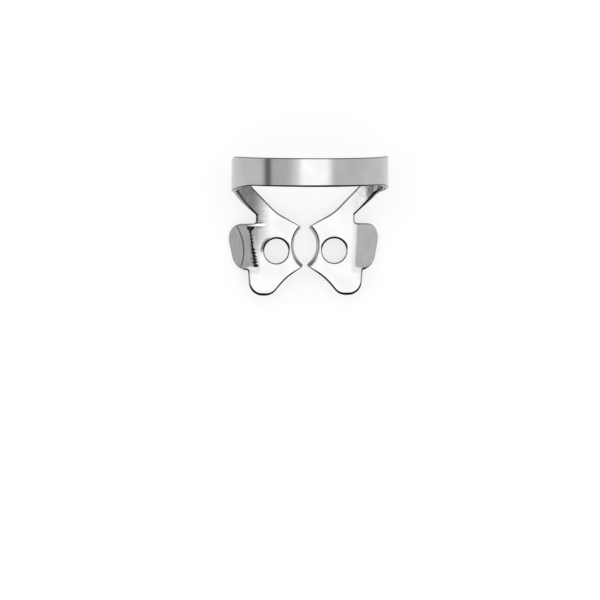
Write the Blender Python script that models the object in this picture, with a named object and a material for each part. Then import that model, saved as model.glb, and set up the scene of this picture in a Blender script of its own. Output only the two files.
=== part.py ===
"""Rubber dam clamp: one piece of spring steel sheet, stamped flat and then bent to shape.

The flat blank is drawn first. Its middle is the strip that becomes the bow, and each end is a
jaw with a forceps hole, a gripping arc, a front lobe and a side wing. The blank gets its sheet
thickness and rounded rims, the gripping arcs are ground with a cone, and the sheet is then bent
along lines across the strip (bow and feet) and along the root of each wing.

Frame: the origin is at the middle of the grip, level with the underside of the jaws. Z points up
to the crown of the bow, Y to the back where the bow stands, and X to the side.
"""

import math

import bmesh
import bpy
from mathutils import Vector

MM = 0.001

# Sheet
SHEET_THICKNESS = 0.85 * MM
RIM_RADIUS = 0.09 * MM
CURVE_SAGITTA = 0.006 * MM
LARGEST_STEP = math.radians(15)

# Bow, in front view: radii of its outer face, from the crown down to the feet
BOW_HEIGHT = 19.0 * MM
CROWN_RADIUS = 7.1 * MM
SIDE_RADIUS = 15.0 * MM
FOOT_RADIUS = 3.85 * MM

# Bow strip, in top view
BOW_REAR = 12.95 * MM
BOW_WIDTH = 4.0 * MM
TAPER_START_HEIGHT = 11.6 * MM
TAPER_DEPTH = 1.3 * MM
TAPER_ROUND = 12.0 * MM
SHOULDER_ROUND = 2.6 * MM
REAR_ROUND = 8.0 * MM

# Neck between the foot of the bow and the jaw
NECK_WIDTH = 2.35 * MM
NECK_ANGLE = math.radians(46)
NECK_FLARE = math.radians(4)
JAW_REAR_ANGLE = math.radians(30)
JAW_REAR_ROUND = 7.0 * MM

# Notch that frees the wing from the neck
NOTCH_REAR = 4.42 * MM
NOTCH_REACH = 0.06 * MM
NOTCH_INSET = 0.08 * MM
NOTCH_LIP_ROUND = 0.2 * MM
NOTCH_ROUND = 0.38 * MM

# Wing: its root line leans inwards to the front, and it is bent down from there
WING_WEB = 1.1 * MM
WING_ROOT_LEAN = math.radians(3)
WING_BEND_ANGLE = math.radians(44)
WING_BEND_INSIDE_RADIUS = 0.3 * MM
WING_LENGTH = 5.07 * MM
WING_TAPER = 1.3 * MM
WING_REAR = 3.2 * MM
WING_FRONT = 3.4 * MM
WING_REAR_ROUND = 2.2 * MM
WING_FRONT_ROUND = 2.4 * MM

# Wing's front end, drawn out of the flat sheet: its bend fades away towards the front lobe
FADE_LENGTH = 0.9 * MM
FADE_START_REACH = 1.25 * MM
FADE_REACH = 1.6 * MM
FADE_STEPS = 7
WING_CORNER_ROUND = 0.25 * MM

# Front lobe
LOBE_OVERHANG = 0.95 * MM
LOBE_DRAFT = 0.28 * MM
LOBE_WIDTH = 3.07 * MM
LOBE_FRONT = 7.15 * MM
LOBE_ROUND = 1.95 * MM
FLANK_X = 2.9 * MM
FLANK_Y = 4.75 * MM
FLANK_ROUND = 9.0 * MM

# Gripping arc and its two points
GRIP_RADIUS = 3.42 * MM
GRIP_DEPTH = 1.67 * MM
GRIP_FRONT_POINT = 2.83 * MM
GRIP_REAR_POINT = 2.62 * MM
FRONT_POINT_ROUND = 0.1 * MM
REAR_POINT_ROUND = 0.26 * MM
GRIND_LAND = 0.2 * MM
GRIND_WIDTH = 0.38 * MM

# Forceps hole
HOLE_RADIUS = 1.75 * MM
HOLE_WEB = 0.4 * MM
HOLE_FORWARD = 0.76 * MM

# The right jaw has taken a small set and hangs a little lower at its points
RIGHT_JAW_SET = math.radians(4.5)

STEEL_COLOUR = (0.72, 0.72, 0.73, 1.0)

MERGE_DISTANCE = 0.0005 * MM

# Places along the right jaw, outwards from the middle of the grip
HOLE_X = GRIP_DEPTH + GRIND_WIDTH + HOLE_WEB + HOLE_RADIUS
WING_ROOT_X = HOLE_X + HOLE_RADIUS + WING_WEB
NOTCH_X = WING_ROOT_X + NOTCH_REACH
FOOT_X = NOTCH_X + NOTCH_INSET
LOBE_X = WING_ROOT_X + LOBE_OVERHANG


class Bow:
    """Middle line of the sheet in front view, from the crown (length 0) to the jaw.

    The side arc touches both the crown circle and the foot circle, so its centre lies where two
    circles around their centres cross.
    """

    def __init__(self):
        crown_centre = Vector((0.0, BOW_HEIGHT - CROWN_RADIUS))
        foot_centre = Vector((FOOT_X, FOOT_RADIUS))
        between = foot_centre - crown_centre
        from_crown = SIDE_RADIUS - CROWN_RADIUS
        from_foot = SIDE_RADIUS - FOOT_RADIUS
        opening = math.acos(
            (from_crown**2 + between.length_squared - from_foot**2) / (2 * from_crown * between.length)
        )
        bearing = math.atan2(between.y, between.x) - opening
        side_centre = crown_centre + from_crown * Vector((math.cos(bearing), math.sin(bearing)))
        to_crown = crown_centre - side_centre
        to_foot = foot_centre - side_centre
        self.crown_turn = math.atan2(to_crown.x, to_crown.y)
        self.side_turn = math.atan2(to_foot.x, to_foot.y)
        self.lengths = [0.0]
        self.points = [Vector((0.0, BOW_HEIGHT - SHEET_THICKNESS / 2))]
        self.turns = [0.0]
        self.add_arc(CROWN_RADIUS, self.crown_turn)
        self.add_arc(SIDE_RADIUS, self.side_turn)
        self.add_arc(FOOT_RADIUS, math.pi)
        self.length = self.lengths[-1]
        self.crown_x = FOOT_X + self.length

    def add_arc(self, outer_radius, end_turn):
        start_turn = self.turns[-1]
        start_length = self.lengths[-1]
        radius = outer_radius - SHEET_THICKNESS / 2
        centre = self.points[-1] - radius * outward(start_turn)
        steps = math.ceil((end_turn - start_turn) / arc_step(outer_radius))
        for step in range(1, steps + 1):
            turn = start_turn + (end_turn - start_turn) * step / steps
            self.turns.append(turn)
            self.lengths.append(start_length + radius * (turn - start_turn))
            self.points.append(centre + radius * outward(turn))

    def length_at_height(self, height):
        """Length from the crown to where the middle line has come down to this height."""
        for index in range(1, len(self.points)):
            upper = self.points[index - 1].y
            lower = self.points[index].y
            if lower <= height:
                share = (upper - height) / (upper - lower)
                return self.lengths[index - 1] + share * (self.lengths[index] - self.lengths[index - 1])
        return self.length

    def place(self, length, height):
        """Point in front view of the sheet at this length, this high above its middle."""
        index = 1
        while index < len(self.lengths) - 1 and self.lengths[index] < length:
            index += 1
        share = (length - self.lengths[index - 1]) / (self.lengths[index] - self.lengths[index - 1])
        start = self.points[index - 1] - height * outward(self.turns[index - 1])
        end = self.points[index] - height * outward(self.turns[index])
        return start.lerp(end, share)


def outward(turn):
    """Outward direction in front view where the strip has turned this far from the crown."""
    return Vector((math.sin(turn), math.cos(turn)))


def arc_step(radius):
    """Angle of one straight step along an arc, so that it stays within the sagitta."""
    if radius <= CURVE_SAGITTA:
        return LARGEST_STEP
    return min(LARGEST_STEP, 2 * math.acos(1 - CURVE_SAGITTA / radius))


def fillet(before, corner, after, radius):
    """Points of an arc of this radius that rounds a corner between two straight edges."""
    towards_before = (before - corner).normalized()
    towards_after = (after - corner).normalized()
    half_angle = towards_before.angle(towards_after) / 2
    reach = radius / math.tan(half_angle)
    start = corner + towards_before * reach
    end = corner + towards_after * reach
    bisector = (towards_before + towards_after).normalized()
    centre = corner + bisector * (radius / math.sin(half_angle))
    sweep = math.pi - 2 * half_angle
    steps = max(2, math.ceil(sweep / arc_step(radius)))
    first = start - centre
    last = end - centre
    points = []
    for step in range(steps + 1):
        share = step / steps
        points.append(
            centre
            + first * (math.sin((1 - share) * sweep) / math.sin(sweep))
            + last * (math.sin(share * sweep) / math.sin(sweep))
        )
    return points


def rounded(corners):
    """Open outline through (point, radius) corners, each rounded by its radius; the ends stay."""
    outline = [corners[0][0]]
    for index in range(1, len(corners) - 1):
        point, radius = corners[index]
        if radius == 0:
            outline.append(point)
        else:
            outline += fillet(corners[index - 1][0], point, corners[index + 1][0], radius)
    outline.append(corners[-1][0])
    return outline


def wing_root_frame():
    """A point on the wing's root line, the direction along it to the rear, and the way outwards."""
    along = Vector((math.sin(WING_ROOT_LEAN), math.cos(WING_ROOT_LEAN)))
    outwards = Vector((math.cos(WING_ROOT_LEAN), -math.sin(WING_ROOT_LEAN)))
    return Vector((WING_ROOT_X, 0.0)), along, outwards


def wing_point(reach, rearwards):
    """Point of the flat sheet, from how far it lies out from the wing's root and along it."""
    origin, along, outwards = wing_root_frame()
    return origin + outwards * reach + along * rearwards


def crossing(first, first_direction, second, second_direction):
    """Where two straight lines in the plane of the sheet cross."""
    offset = second - first
    share = offset.cross(second_direction) / first_direction.cross(second_direction)
    return first + first_direction * share


def grip_centre():
    """Centre of the right jaw's gripping arc, in top view."""
    return Vector((GRIP_DEPTH - GRIP_RADIUS, 0.0))


def grip_point(y):
    """Point of the right jaw's gripping arc this far to the rear of the grip's middle."""
    return grip_centre() + Vector((math.sqrt(GRIP_RADIUS**2 - y**2), y))


def grip_arc():
    """Corners along the right jaw's gripping arc, from the front point to the rear point."""
    start = math.asin(-GRIP_FRONT_POINT / GRIP_RADIUS)
    end = math.asin(GRIP_REAR_POINT / GRIP_RADIUS)
    steps = math.ceil((end - start) / arc_step(GRIP_RADIUS))
    corners = []
    for step in range(steps + 1):
        angle = start + (end - start) * step / steps
        radius = {0: FRONT_POINT_ROUND, steps: REAR_POINT_ROUND}.get(step, 0)
        corners.append((grip_centre() + GRIP_RADIUS * Vector((math.cos(angle), math.sin(angle))), radius))
    return corners


def half_blank(bow):
    """Outline of the flat sheet on the right, from the bow's front edge round to its rear edge.

    X is given as if the whole sheet lay in the plane of the jaws, with the foot of the bow
    unrolled outwards, so that the jaw has its true place and the crown lies far out at crown_x.
    """
    front = BOW_REAR - BOW_WIDTH
    taper_x = bow.crown_x - bow.length_at_height(TAPER_START_HEIGHT)
    notch_lip = Vector((NOTCH_X, NOTCH_REAR))
    front_angle = NECK_ANGLE - NECK_FLARE
    neck_front = Vector((math.cos(front_angle), math.sin(front_angle)))
    neck_rear = Vector((math.cos(NECK_ANGLE), math.sin(NECK_ANGLE)))
    neck_side = Vector((-neck_rear.y, neck_rear.x))
    across = Vector((1.0, 0.0))
    shoulder = crossing(notch_lip, neck_front, Vector((0.0, front - TAPER_DEPTH)), across)
    neck_back = notch_lip + neck_side * NECK_WIDTH
    rear_corner = crossing(neck_back, neck_rear, Vector((0.0, BOW_REAR)), across)
    rear_point = grip_point(GRIP_REAR_POINT)
    jaw_rear = Vector((math.cos(JAW_REAR_ANGLE), math.sin(JAW_REAR_ANGLE)))
    jaw_corner = crossing(rear_point, jaw_rear, neck_back, neck_rear)
    wing_corner = crossing(
        notch_lip, Vector((0.0, 1.0)), wing_point(0.0, WING_REAR), wing_root_frame()[2]
    )
    lobe_corner = crossing(
        wing_point(0.0, -WING_FRONT),
        wing_root_frame()[2],
        Vector((LOBE_X + LOBE_DRAFT, 0.0)),
        Vector((0.0, 1.0)),
    )
    corners = [
        (Vector((bow.crown_x, front)), 0),
        (Vector((taper_x, front)), TAPER_ROUND),
        (shoulder, SHOULDER_ROUND),
        (notch_lip, NOTCH_LIP_ROUND),
        (wing_corner, NOTCH_ROUND),
        (wing_point(WING_LENGTH, WING_REAR), WING_REAR_ROUND),
        (wing_point(WING_LENGTH - WING_TAPER, -WING_FRONT), WING_FRONT_ROUND),
        (lobe_corner, WING_CORNER_ROUND),
        (Vector((LOBE_X, -LOBE_FRONT)), LOBE_ROUND),
        (Vector((LOBE_X - LOBE_WIDTH, -LOBE_FRONT)), LOBE_ROUND),
        (Vector((FLANK_X, -FLANK_Y)), FLANK_ROUND),
    ]
    corners += grip_arc()
    corners += [
        (jaw_corner, JAW_REAR_ROUND),
        (rear_corner, REAR_ROUND),
        (Vector((bow.crown_x, BOW_REAR)), 0),
    ]
    return rounded(corners)


def hole_outline():
    """Outline of the right forceps hole."""
    steps = math.ceil(2 * math.pi / arc_step(HOLE_RADIUS))
    centre = Vector((HOLE_X, -HOLE_FORWARD))
    points = []
    for step in range(steps):
        angle = 2 * math.pi * step / steps
        points.append(centre + HOLE_RADIUS * Vector((math.cos(angle), math.sin(angle))))
    return points


def on_blank(point, crown_x, side):
    """Turns a top view point of the right jaw into its place on the blank, on either side."""
    return Vector((side * (crown_x - point.x), point.y))


def add_spline(curve, points):
    """Adds a closed outline of straight steps to a flat curve."""
    spline = curve.splines.new("POLY")
    spline.points.add(len(points) - 1)
    for spline_point, point in zip(spline.points, points):
        spline_point.co = (point.x, point.y, 0.0, 1.0)
    spline.use_cyclic_u = True


def link(item, collection):
    collection.objects.link(item)
    return item


def new_collection(name):
    collection = bpy.data.collections.new(name)
    bpy.context.scene.collection.children.link(collection)
    return collection


def flat_blank(bow, collection):
    """The stamped sheet before bending: outline and forceps holes, with rounded rims."""
    half = half_blank(bow)
    right = [on_blank(point, bow.crown_x, 1) for point in half]
    left = [on_blank(point, bow.crown_x, -1) for point in reversed(half)]
    curve = bpy.data.curves.new("blank_outline", "CURVE")
    curve.dimensions = "2D"
    curve.fill_mode = "BOTH"
    curve.extrude = SHEET_THICKNESS / 2 - RIM_RADIUS
    curve.bevel_depth = RIM_RADIUS
    curve.bevel_resolution = 1
    curve.offset = -RIM_RADIUS
    add_spline(curve, right[1:-1] + left[1:-1])
    for side in (1, -1):
        hole = [on_blank(point, bow.crown_x, side) for point in hole_outline()]
        add_spline(curve, hole if side > 0 else list(reversed(hole)))
    outline = link(bpy.data.objects.new("blank_outline", curve), collection)
    bpy.context.view_layer.update()
    evaluated = outline.evaluated_get(bpy.context.evaluated_depsgraph_get())
    blank = bpy.data.objects.new("blank", bpy.data.meshes.new_from_object(evaluated))
    blank.matrix_world = outline.matrix_world
    bpy.data.objects.remove(outline)
    sheet = bmesh.new()
    sheet.from_mesh(blank.data)
    bmesh.ops.remove_doubles(sheet, verts=sheet.verts, dist=MERGE_DISTANCE)
    bmesh.ops.recalc_face_normals(sheet, faces=sheet.faces)
    sheet.to_mesh(blank.data)
    sheet.free()
    return link(blank, collection)


def grinding_cone(bow, side, collection):
    """Cone that grinds the gripping arc of one jaw, so that its upper edge stands back."""
    slope = GRIND_WIDTH / (SHEET_THICKNESS - GRIND_LAND)
    margin = SHEET_THICKNESS
    land_height = -SHEET_THICKNESS / 2 + GRIND_LAND
    lower = -SHEET_THICKNESS / 2 - margin
    upper = SHEET_THICKNESS / 2 + margin
    cone = bmesh.new()
    bmesh.ops.create_cone(
        cone,
        cap_ends=True,
        segments=2 * math.ceil(math.pi / arc_step(GRIP_RADIUS)),
        radius1=GRIP_RADIUS + slope * (lower - land_height),
        radius2=GRIP_RADIUS + slope * (upper - land_height),
        depth=upper - lower,
    )
    centre = on_blank(grip_centre(), bow.crown_x, side)
    bmesh.ops.translate(cone, verts=cone.verts, vec=(centre.x, centre.y, 0.0))
    mesh = bpy.data.meshes.new("grinding_cone")
    cone.to_mesh(mesh)
    cone.free()
    cutter = link(bpy.data.objects.new("grinding_cone", mesh), collection)
    cutter.hide_render = True
    cutter.display_type = "WIRE"
    return cutter


def ground_blank(bow, collection):
    """The blank with both gripping arcs ground, as a mesh to be bent."""
    blank = flat_blank(bow, collection)
    for side in (1, -1):
        cut = blank.modifiers.new("grind", "BOOLEAN")
        cut.operation = "DIFFERENCE"
        cut.solver = "EXACT"
        cut.object = grinding_cone(bow, side, collection)
    bpy.context.view_layer.update()
    evaluated = blank.evaluated_get(bpy.context.evaluated_depsgraph_get())
    mesh = bpy.data.meshes.new_from_object(evaluated)
    bpy.data.objects.remove(blank)
    return mesh


class Press:
    """Bends the flat sheet: the bow and feet across the strip, and the wings at their roots."""

    def __init__(self, bow, sheet):
        self.bow = bow
        self.sheet = sheet
        self.crown_x = bow.crown_x
        self.notch_y = (NOTCH_REAR + WING_REAR) / 2
        self.lobe_start = WING_FRONT + WING_CORNER_ROUND
        self.bend_radius = WING_BEND_INSIDE_RADIUS + SHEET_THICKNESS / 2
        self.bend_length = self.bend_radius * WING_BEND_ANGLE
        self.bend_steps = math.ceil(WING_BEND_ANGLE / arc_step(self.bend_radius + SHEET_THICKNESS / 2))

    def jaw_point(self, vertex):
        """Top view point, before bending, of a vertex of the blank."""
        return Vector((self.crown_x - abs(vertex.co.x), vertex.co.y))

    def from_wing_root(self, point):
        origin, along, outwards = wing_root_frame()
        offset = point - origin
        return offset.dot(outwards), offset.dot(along)

    def region(self, points):
        """Says which bends a group of points takes: bow, wing or none, which is the lobe."""
        middle = sum(points, Vector((0.0, 0.0))) / len(points)
        if middle.y > self.notch_y:
            return "bow"
        if self.from_wing_root(middle)[1] > -self.lobe_start:
            return "wing"
        return "lobe"

    def faces_of(self, side, region):
        faces = []
        for face in self.sheet.faces:
            if face.calc_center_median().x * side <= 0:
                continue
            if self.region([self.jaw_point(vertex) for vertex in face.verts]) == region:
                faces.append(face)
        return faces

    def cut(self, faces, point, normal):
        """Puts an edge across these faces, where the given plane meets them."""
        edges = {edge for face in faces for edge in face.edges}
        vertices = {vertex for face in faces for vertex in face.verts}
        bmesh.ops.bisect_plane(
            self.sheet,
            geom=list(vertices) + list(edges) + list(faces),
            dist=MERGE_DISTANCE,
            plane_co=(point.x, point.y, 0.0),
            plane_no=(normal.x, normal.y, 0.0),
        )

    def cut_regions(self):
        """Parts the sheet at the crown, through the notches and where the wings' bend ends."""
        across = Vector((1.0, 0.0))
        backwards = Vector((0.0, 1.0))
        self.cut(self.sheet.faces[:], Vector((0.0, 0.0)), across)
        self.cut(self.sheet.faces[:], Vector((0.0, self.notch_y)), backwards)
        for side in (1, -1):
            faces = [
                face
                for face in self.sheet.faces
                if face.calc_center_median().x * side > 0 and face.calc_center_median().y < self.notch_y
            ]
            start = wing_point(0.0, -self.lobe_start)
            along = wing_root_frame()[1]
            self.cut(faces, on_blank(start, self.crown_x, side), Vector((-side * along.x, along.y)))

    def cut_bend_lines(self):
        """Puts edges along the bend lines, and across the wings' bend where it fades away."""
        _, along, outwards = wing_root_frame()
        for side in (1, -1):
            for length in self.bow.lengths[1:]:
                self.cut(self.faces_of(side, "bow"), Vector((side * length, 0.0)), Vector((1.0, 0.0)))
            for step in range(self.bend_steps + 1):
                start = wing_point(self.bend_length * step / self.bend_steps, 0.0)
                normal = Vector((-side * outwards.x, outwards.y))
                self.cut(self.faces_of(side, "wing"), on_blank(start, self.crown_x, side), normal)
            fade_end = -WING_FRONT + FADE_LENGTH
            for step in range(1, FADE_STEPS + 1):
                start = wing_point(0.0, -self.lobe_start + (fade_end + self.lobe_start) * step / FADE_STEPS)
                normal = Vector((-side * along.x, along.y))
                self.cut(self.wing_faces(side, math.inf), on_blank(start, self.crown_x, side), normal)
            last_reach = FADE_START_REACH + FADE_REACH
            for step in range(1, FADE_STEPS + 1):
                reach = self.bend_length + (last_reach - self.bend_length) * step / FADE_STEPS
                normal = Vector((-side * outwards.x, outwards.y))
                start = on_blank(wing_point(reach, 0.0), self.crown_x, side)
                self.cut(self.wing_faces(side, fade_end), start, normal)

    def wing_faces(self, side, rearmost):
        """Faces of one wing that lie outside its root line and in front of this place along it."""
        faces = []
        for face in self.faces_of(side, "wing"):
            points = [self.jaw_point(vertex) for vertex in face.verts]
            reach, along = self.from_wing_root(sum(points, Vector((0.0, 0.0))) / len(points))
            if reach > 0 and along < rearmost:
                faces.append(face)
        return faces

    def bent_wing(self, point, height):
        """Top view point and height of the sheet after the wing's bend; before it, unchanged."""
        reach, along = self.from_wing_root(point)
        share = (along + WING_FRONT) / FADE_LENGTH + max(0.0, reach - FADE_START_REACH) / FADE_REACH
        if reach <= 0 or share <= 0:
            return point, height
        share = min(1.0, share)
        share = share**2 * (3 - 2 * share)
        turn = WING_BEND_ANGLE * min(1.0, reach / self.bend_length)
        rest = max(0.0, reach - self.bend_length)
        radius = self.bend_radius + height
        bent_reach = radius * math.sin(turn) + rest * math.cos(turn)
        bent_height = radius * math.cos(turn) - self.bend_radius - rest * math.sin(turn)
        new_reach = reach + (bent_reach - reach) * share
        return wing_point(new_reach, along), height + (bent_height - height) * share

    def bend(self):
        """Moves every vertex from the flat sheet to its place on the finished clamp."""
        for vertex in self.sheet.verts:
            side = 1 if vertex.co.x >= 0 else -1
            jaw_set = RIGHT_JAW_SET if side > 0 else 0.0
            point = self.jaw_point(vertex)
            height = vertex.co.z
            length = abs(vertex.co.x)
            if point.y > self.notch_y and length < self.bow.length:
                place = self.bow.place(length, height)
                vertex.co = (side * place.x, point.y, place.y)
                continue
            if self.region([point]) == "wing":
                point, height = self.bent_wing(point, height)
            inwards = FOOT_X - point.x
            x = FOOT_X - inwards * math.cos(jaw_set) - height * math.sin(jaw_set)
            z = SHEET_THICKNESS / 2 - inwards * math.sin(jaw_set) + height * math.cos(jaw_set)
            vertex.co = (side * x, point.y, z)


def bent_sheet(bow, mesh):
    """Bends the ground blank into the clamp and returns it as the same mesh."""
    sheet = bmesh.new()
    sheet.from_mesh(mesh)
    bmesh.ops.remove_doubles(sheet, verts=sheet.verts, dist=MERGE_DISTANCE)
    bmesh.ops.dissolve_limit(
        sheet, angle_limit=math.radians(0.05), verts=sheet.verts, edges=sheet.edges
    )
    bmesh.ops.triangulate(sheet, faces=sheet.faces)
    press = Press(bow, sheet)
    press.cut_regions()
    press.cut_bend_lines()
    press.bend()
    bmesh.ops.triangulate(sheet, faces=sheet.faces)
    bmesh.ops.recalc_face_normals(sheet, faces=sheet.faces)
    sheet.to_mesh(mesh)
    sheet.free()
    return mesh


def steel():
    """Polished, plated spring steel."""
    material = bpy.data.materials.new("polished_steel")
    material.use_nodes = True
    shader = material.node_tree.nodes["Principled BSDF"]
    shader.inputs["Base Color"].default_value = STEEL_COLOUR
    shader.inputs["Metallic"].default_value = 1.0
    shader.inputs["Roughness"].default_value = 0.18
    return material


def main():
    for item in list(bpy.data.objects):
        bpy.data.objects.remove(item)
    finished = new_collection("rubber_dam_clamp")
    cutters = new_collection("cutters")
    bow = Bow()
    mesh = bent_sheet(bow, ground_blank(bow, cutters))
    mesh.name = "clamp"
    mesh.materials.clear()
    mesh.materials.append(steel())
    mesh.shade_smooth()
    mesh.set_sharp_from_angle(angle=math.radians(30))
    link(bpy.data.objects.new("clamp", mesh), finished)


main()
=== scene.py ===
import math

import bpy
import numpy as np
from mathutils import Matrix, Vector
from mathutils.geometry import delaunay_2d_cdt


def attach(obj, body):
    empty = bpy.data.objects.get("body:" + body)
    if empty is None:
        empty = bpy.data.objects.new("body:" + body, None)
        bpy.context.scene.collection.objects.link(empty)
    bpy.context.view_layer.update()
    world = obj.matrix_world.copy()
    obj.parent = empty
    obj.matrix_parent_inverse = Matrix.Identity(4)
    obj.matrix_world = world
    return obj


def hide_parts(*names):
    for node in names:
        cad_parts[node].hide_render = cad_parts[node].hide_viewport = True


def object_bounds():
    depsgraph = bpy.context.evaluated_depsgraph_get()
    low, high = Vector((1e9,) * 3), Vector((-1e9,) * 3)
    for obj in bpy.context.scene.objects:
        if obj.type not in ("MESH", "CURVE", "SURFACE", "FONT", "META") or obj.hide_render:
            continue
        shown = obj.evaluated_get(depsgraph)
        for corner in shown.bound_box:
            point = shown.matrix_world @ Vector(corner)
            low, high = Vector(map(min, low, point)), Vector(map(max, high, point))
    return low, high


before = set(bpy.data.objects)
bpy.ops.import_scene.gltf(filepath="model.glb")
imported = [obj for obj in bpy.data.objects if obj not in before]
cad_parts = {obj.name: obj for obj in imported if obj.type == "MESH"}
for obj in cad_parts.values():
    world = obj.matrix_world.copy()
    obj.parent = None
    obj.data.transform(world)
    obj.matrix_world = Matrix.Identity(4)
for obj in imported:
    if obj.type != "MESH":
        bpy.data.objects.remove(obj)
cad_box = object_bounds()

MM = 0.001

# Sheet, and the radii of its upper rims: in general, and where they are sharper or rounder
SHEET_THICKNESS = 0.85 * MM
TOP_RIM = 0.28 * MM
GROUND_TOP_RIM = 0.14 * MM
HOLE_TOP_RIM = 0.24 * MM
LOBE_TOP_RIM = 0.42 * MM
CROWN_FRONT_RIM = 0.44 * MM
UNDER_RIM_SHARE = 0.7
RIM_STEPS = 5

# Bow, in front view: radii of its outer face, from the crown down to the feet
BOW_HEIGHT = 19.0 * MM
CROWN_RADIUS = 7.1 * MM
SIDE_RADIUS = 15.0 * MM
FOOT_RADIUS = 3.85 * MM

# Bow strip, in top view
BOW_REAR = 12.95 * MM
BOW_WIDTH = 4.0 * MM
TAPER_START_HEIGHT = 11.6 * MM
TAPER_DEPTH = 1.3 * MM
TAPER_ROUND = 12.0 * MM
SHOULDER_ROUND = 2.6 * MM
REAR_ROUND = 8.0 * MM

# Neck between the foot of the bow and the jaw
NECK_WIDTH = 2.35 * MM
NECK_ANGLE = math.radians(46)
NECK_FLARE = math.radians(4)
JAW_REAR_ANGLE = math.radians(30)
JAW_REAR_ROUND = 7.0 * MM

# Notch that frees the wing from the neck
NOTCH_REAR = 4.42 * MM
NOTCH_REACH = 0.06 * MM
NOTCH_INSET = 0.08 * MM
NOTCH_LIP_ROUND = 0.3 * MM
NOTCH_ROUND = 0.38 * MM

# Wing: its root line leans inwards to the front, and it is bent down from there
WING_WEB = 1.1 * MM
WING_ROOT_LEAN = math.radians(3)
WING_BEND_ANGLE = math.radians(44)
WING_BEND_INSIDE_RADIUS = 0.3 * MM
WING_LENGTH = 5.07 * MM
WING_TAPER = 1.3 * MM
WING_REAR = 3.2 * MM
WING_FRONT = 3.4 * MM
WING_REAR_ROUND = 2.2 * MM
WING_FRONT_ROUND = 2.4 * MM

# Wing's front end, drawn out of the flat sheet: its bend fades away towards the front lobe
FADE_LENGTH = 0.9 * MM
FADE_START_REACH = 1.25 * MM
FADE_REACH = 1.6 * MM
FADE_SOFTNESS = 0.4 * MM
WING_CORNER_ROUND = 0.25 * MM

# Front lobe
LOBE_OVERHANG = 0.95 * MM
LOBE_DRAFT = 0.28 * MM
LOBE_WIDTH = 3.07 * MM
LOBE_FRONT = 7.15 * MM
LOBE_ROUND = 1.95 * MM
FLANK_X = 2.9 * MM
FLANK_Y = 4.75 * MM
FLANK_ROUND = 9.0 * MM

# Gripping arc and its two points
GRIP_RADIUS = 3.42 * MM
GRIP_DEPTH = 1.67 * MM
GRIP_FRONT_POINT = 2.83 * MM
GRIP_REAR_POINT = 2.62 * MM
FRONT_POINT_ROUND = 0.22 * MM
REAR_POINT_ROUND = 0.26 * MM
POINT_STEPS = 8
GRIP_STEPS = 56
GRIND_LAND = 0.2 * MM
GRIND_WIDTH = 0.38 * MM

# Forceps hole
HOLE_RADIUS = 1.75 * MM
HOLE_WEB = 0.4 * MM
HOLE_FORWARD = 0.76 * MM
HOLE_STEPS = 96

# The right jaw has taken a small set and hangs a little lower at its points
RIGHT_JAW_SET = math.radians(4.5)

# Levels of the cut edge between its two rims: the turn into the ground face, and the uppermost
LAND_TURN_START = 0.005 * MM
LAND_TURN_END = 0.035 * MM
UPPER_LEVEL = 0.12 * MM
UPPER_LEVEL_CLEARANCE = 0.02 * MM
LEAST_LEVEL_STEP = 0.01 * MM

# How finely the sheet is divided, and how far from a point its surface is felt for direction
FEELER = 0.02 * MM
CURVE_SAGITTA = 0.0015 * MM
LARGEST_STEP = math.radians(9)
EDGE_STEP = 0.25 * MM
GRID_STEP = 0.25 * MM
BEND_ROW_STEP = 0.07 * MM
FADE_STEP = 0.11 * MM
FADE_MARGIN = 0.3 * MM
FADE_ROW_START = 0.1 * MM
BEND_MARGIN = 0.12 * MM
BORDER_MARGIN = 0.05 * MM
EDGE_BEND_MARGIN = 0.1 * MM
EDGE_BEND_SHARE = 1.2
NARROWEST_MITRE = 0.5
HEIGHT_HALVINGS = 40

# How points are matched, and what Blender's triangulation is asked for
POINTS_PER_METRE = 1e8
AT_CROWN = 1e-9
OFF_WING_REACH = -2.0 * MM
TRIANGLES_INSIDE = 1
TRIANGLE_TOLERANCE = 1e-7

# Stage
FLOOR_REACH = 2.0
SHADE_RIGHT = -0.05
SHADE_REACH = 0.6
SHADE_LIFT = 0.1 * MM
SHADE_FADE_START = -0.4
SHADE_FADE_END = -0.08
SOFTBOX_STRENGTH = 2.06

# Camera: what it aims at is given as shares of the frame's width, from the middle of the grip
CAMERA_LEAN = math.radians(8)
CAMERA_TILT = math.radians(3.4)
CAMERA_DISTANCE = 600 * MM
FRAME_WIDTH = 85.92 * MM
AIM_RIGHT = -4.9 / 600
AIM_UP = -54.6 / 600
SENSOR_WIDTH = 36.0

# Places along the right jaw, outwards from the middle of the grip
HOLE_X = GRIP_DEPTH + GRIND_WIDTH + HOLE_WEB + HOLE_RADIUS
WING_ROOT_X = HOLE_X + HOLE_RADIUS + WING_WEB
NOTCH_X = WING_ROOT_X + NOTCH_REACH
FOOT_X = NOTCH_X + NOTCH_INSET
LOBE_X = WING_ROOT_X + LOBE_OVERHANG

NOTCH_MIDDLE = (NOTCH_REAR + WING_REAR) / 2
LOBE_START = WING_FRONT + WING_CORNER_ROUND
WING_BEND_RADIUS = WING_BEND_INSIDE_RADIUS + SHEET_THICKNESS / 2
WING_BEND_LENGTH = WING_BEND_RADIUS * WING_BEND_ANGLE
LAND_HEIGHT = GRIND_LAND - SHEET_THICKNESS / 2
GRIND_SLOPE = GRIND_WIDTH / (SHEET_THICKNESS - GRIND_LAND)


# The flat sheet, before it is bent


def outward(turn):
    """Outward direction in front view where the strip has turned this far from the crown."""
    return Vector((math.sin(turn), math.cos(turn)))


def arc_step(radius):
    """Angle of one straight step along an arc, so that it stays within the sagitta."""
    if radius <= CURVE_SAGITTA:
        return LARGEST_STEP
    return min(LARGEST_STEP, 2 * math.acos(1 - CURVE_SAGITTA / radius))


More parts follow.
